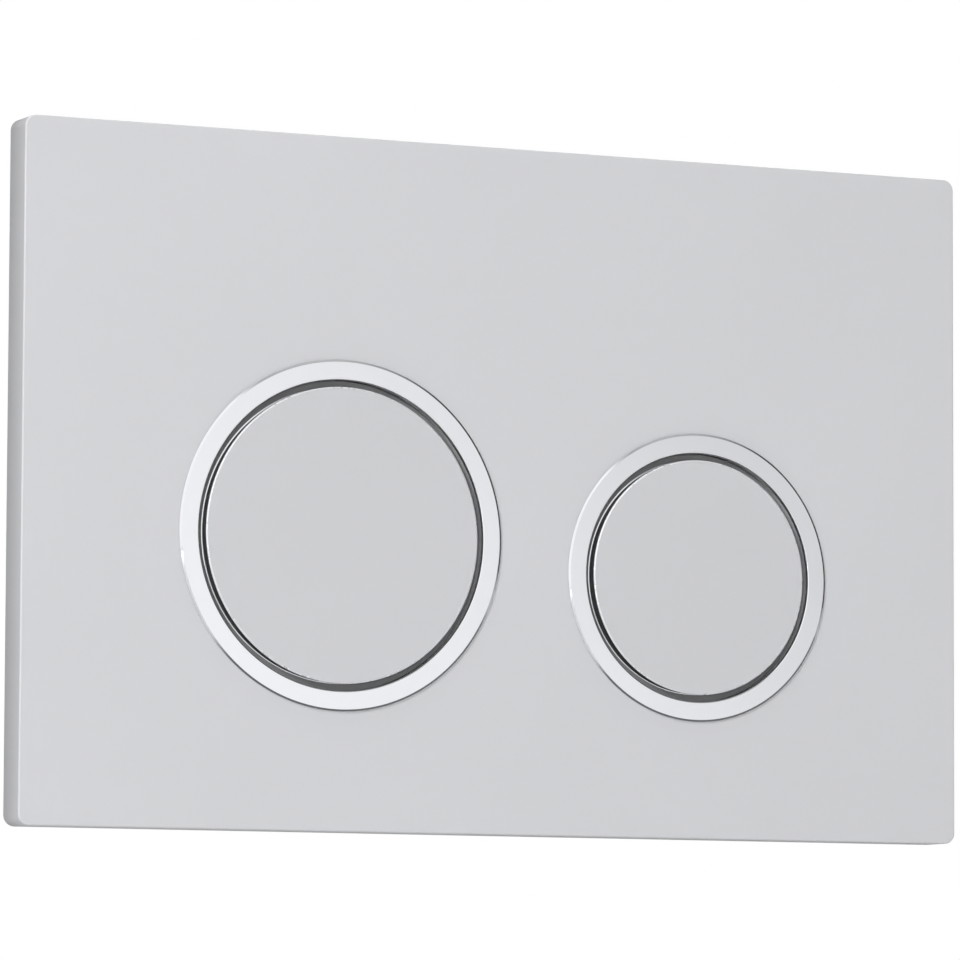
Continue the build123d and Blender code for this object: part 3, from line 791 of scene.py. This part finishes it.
def screw_grid(centre, tip, top):
    """A screw along Y: the shank from its tip, the seat of the head, a rounded shoulder, and the top with
    its cross."""
    seat, flat = top - screw_head_height, screw_head_radius - screw_shoulder
    turn = np.linspace(0, np.pi / 2, shoulder_rows)
    radius, depth = flat + screw_shoulder * np.cos(turn), top - screw_shoulder * (1 - np.sin(turn))
    shoulder = np.stack([radius, depth], axis=-1)
    inward = np.linspace(flat, 0, crown_rows)[1:]
    crown = np.stack([inward, np.full_like(inward, top)], axis=-1)
    point = [(0, tip), (screw_tip_radius, tip), (screw_radius, tip + screw_tip_height)]
    shank = point + [(screw_radius, seat), (screw_head_radius, seat)]
    grid = turned_grid(np.vstack([shank, shoulder, crown]), centre, screw_columns)
    sunk = cross_recess(grid[..., 0] - centre[0], grid[..., 2] - centre[1])
    grid[len(shank) :, :, 1] -= sunk[len(shank) :]
    return grid


low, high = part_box("carrier_screws")
grids = [(screw_grid(place, low.y, high.y), False) for place in screw_places]
screws = piece_from_grids("pan_head_screws", grids, "plate", zinc)
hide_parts("carrier_screws")

# %% [markdown]
# ## Threads
# The fixing bolts and the spindles of the push rods are threaded, so that the plate and the rods can be
# set to the depth of the wall. A ridge could be swept along a coil, but it would need a join at each
# end. So a thread here is one surface whose radius rises and falls once a turn, and it lies round the
# plain shank of the solid like a sleeve.

# %% Cut the threads
thread_pitch = 1.0 * MM
thread_height = 0.22 * MM
thread_lift = 0.02 * MM
flank_gain, root_cut = 1.4, 0.2
bolt_radius, bolt_head_radius = 2.9 * MM, 6.5 * MM
bolt_start, bolt_tip = 1.5 * MM, 1.0 * MM
spindle_radius, spindle_nose = 3.0 * MM, 6.0 * MM


def thread_grid(centre, start, end, shank, columns=48, rows_per_turn=8):
    """A thread along Y: the radius is the shank plus a ridge, a triangle wave of depth over pitch minus
    the share of a turn, cut flat at crest and root. The ridge fades out over the last turn at each end,
    and both ends close on the axis."""
    rows = int((end - start) / thread_pitch * rows_per_turn) + 1
    depth = np.linspace(start, end, rows)[:, None]
    angle = np.linspace(0, 2 * np.pi, columns, endpoint=False)
    phase = (depth / thread_pitch - angle / (2 * np.pi)) % 1
    wave = np.clip(flank_gain * abs(2 * phase - 1) - root_cut, 0, 1)
    fade = np.clip(np.minimum(depth - start, end - depth) / thread_pitch, 0, 1)
    radius = shank + thread_lift + thread_height * wave * fade
    x, z = centre[0] + radius * np.cos(angle), centre[1] + radius * np.sin(angle)
    tube = np.stack([x, depth + 0 * x, z], axis=-1)
    ends = [np.broadcast_to([centre[0], y, centre[1]], (1, columns, 3)) for y in (start, end)]
    return np.concatenate([ends[0], tube, ends[1]])


low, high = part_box("fixing_bolts")
bolt_end = high.y - bolt_tip
bolt_across = (low.x + bolt_head_radius, high.x - bolt_head_radius)
bolt_places = [(x, (low.z + high.z) / 2) for x in bolt_across]
grids = [(thread_grid(place, bolt_start, bolt_end, bolt_radius), False) for place in bolt_places]
piece_from_grids("bolt_threads", grids, "plate", zinc)
for side in buttons:
    centre, _ = axis_of(f"{side}_rod_spindle")
    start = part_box(f"{side}_rod_lock_nut")[1].y
    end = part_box(f"{side}_rod_spindle")[1].y - spindle_nose
    grid = thread_grid(centre, start, end, spindle_radius)
    name, body = f"{side}_spindle_thread", f"{side}_push_rod"
    piece_from_grids(name, [(grid, False)], body, acetal)

# %% [markdown]
# ## Floor
# The plate hangs on a wall, so the floor is only a pale sheet below it. It bounces some light onto the
# lower edge and keeps the shadow in views from above. It lies lower than the camera, which looks up a
# little. A curved backdrop would hide where the floor ends; here the floor turns white for the camera
# with its distance from the part. Just in front of the plate a strip of the floor glows a dark grey for
# reflected rays only: a painted reflection, like the dark card photographers use, that gives polished
# rims a dark line.

# %% Paint the floor
fade_start, fade_end = 0.35, 1.30
# The edges in Y of the strip of floor that shows the painted dark reflection, and its tone.
dark_reflection_far, dark_reflection_near = (-0.26, -0.18), (-0.10, -0.02)
painted_reflection_tone = 0.15
pale_tones = (0.82, 0.82, 0.82), (0.85, 0.85, 0.85)
floor_material, tree, shader, metres = new_finish("pale_floor", 0.7, metallic=0.0, specular=0.2)
vary_colour(tree, shader, add_noise(tree, metres, grain_size=0.5, detail=2.0), *pale_tones)
ray = add_node(tree, "ShaderNodeLightPath")
reach = add_node(tree, "ShaderNodeVectorMath", operation="LENGTH")
fade = add_step(tree, (fade_start, fade_end), (0.0, 1.0))
far_white = add_node(tree, "ShaderNodeMath", operation="MULTIPLY")
white_sheet = add_node(tree, "ShaderNodeEmission")
sheet = add_node(tree, "ShaderNodeMixShader")
place = add_node(tree, "ShaderNodeSeparateXYZ")
far_side = add_step(tree, dark_reflection_far, (0.0, 1.0))
near_side = add_step(tree, dark_reflection_near, (1.0, 0.0))
dark_reflection_strip = add_node(tree, "ShaderNodeMath", operation="MULTIPLY")
dark_reflection_for_glossy = add_node(tree, "ShaderNodeMath", operation="MULTIPLY")
# Painted reflection: a faint grey glow on this strip of floor that only reflected rays see.
painted_dark_reflection = add_node(tree, "ShaderNodeEmission")
painted_dark_reflection.inputs["Strength"].default_value = painted_reflection_tone
floor_with_painted_reflection = add_node(tree, "ShaderNodeMixShader")
for start, end in (
    (metres.outputs["Object"], reach.inputs[0]),
    (reach.outputs["Value"], fade.inputs["Value"]),
    (fade.outputs["Result"], far_white.inputs[0]),
    (ray.outputs["Is Camera Ray"], far_white.inputs[1]),
    (far_white.outputs[0], sheet.inputs[0]),
    (shader.outputs[0], sheet.inputs[1]),
    (white_sheet.outputs[0], sheet.inputs[2]),
    (metres.outputs["Object"], place.inputs[0]),
    (place.outputs["Y"], far_side.inputs["Value"]),
    (place.outputs["Y"], near_side.inputs["Value"]),
    (far_side.outputs["Result"], dark_reflection_strip.inputs[0]),
    (near_side.outputs["Result"], dark_reflection_strip.inputs[1]),
    (dark_reflection_strip.outputs[0], dark_reflection_for_glossy.inputs[0]),
    (ray.outputs["Is Glossy Ray"], dark_reflection_for_glossy.inputs[1]),
    (dark_reflection_for_glossy.outputs[0], floor_with_painted_reflection.inputs[0]),
    (sheet.outputs[0], floor_with_painted_reflection.inputs[1]),
    (painted_dark_reflection.outputs[0], floor_with_painted_reflection.inputs[2]),
    (floor_with_painted_reflection.outputs[0], tree.nodes["Material Output"].inputs["Surface"]),
):
    tree.links.new(start, end)
print("nodes in the floor's finish:", len(tree.nodes))

# %% Lay the floor
floor_depth = -0.16
floor_reach = 6.0
floor_mesh = bpy.data.meshes.new("floor")
span = np.linspace(-floor_reach, floor_reach, 3)
floor_x, floor_y = np.meshgrid(span, span)
floor_grid = np.stack([floor_x, floor_y, np.full_like(floor_x, floor_depth)], axis=-1)
index = np.arange(floor_x.size).reshape(floor_x.shape)
corners = index[:-1, :-1], index[:-1, 1:], index[1:, 1:], index[1:, :-1]
floor_quads = np.stack(corners, axis=-1).reshape(-1, 4)
floor_mesh.from_pydata(floor_grid.reshape(-1, 3).tolist(), [], floor_quads.tolist())
floor_mesh.materials.append(floor_material)
floor = bpy.data.objects.new("floor", floor_mesh)
scene.collection.objects.link(floor)
print("floor at", floor_depth, "m")
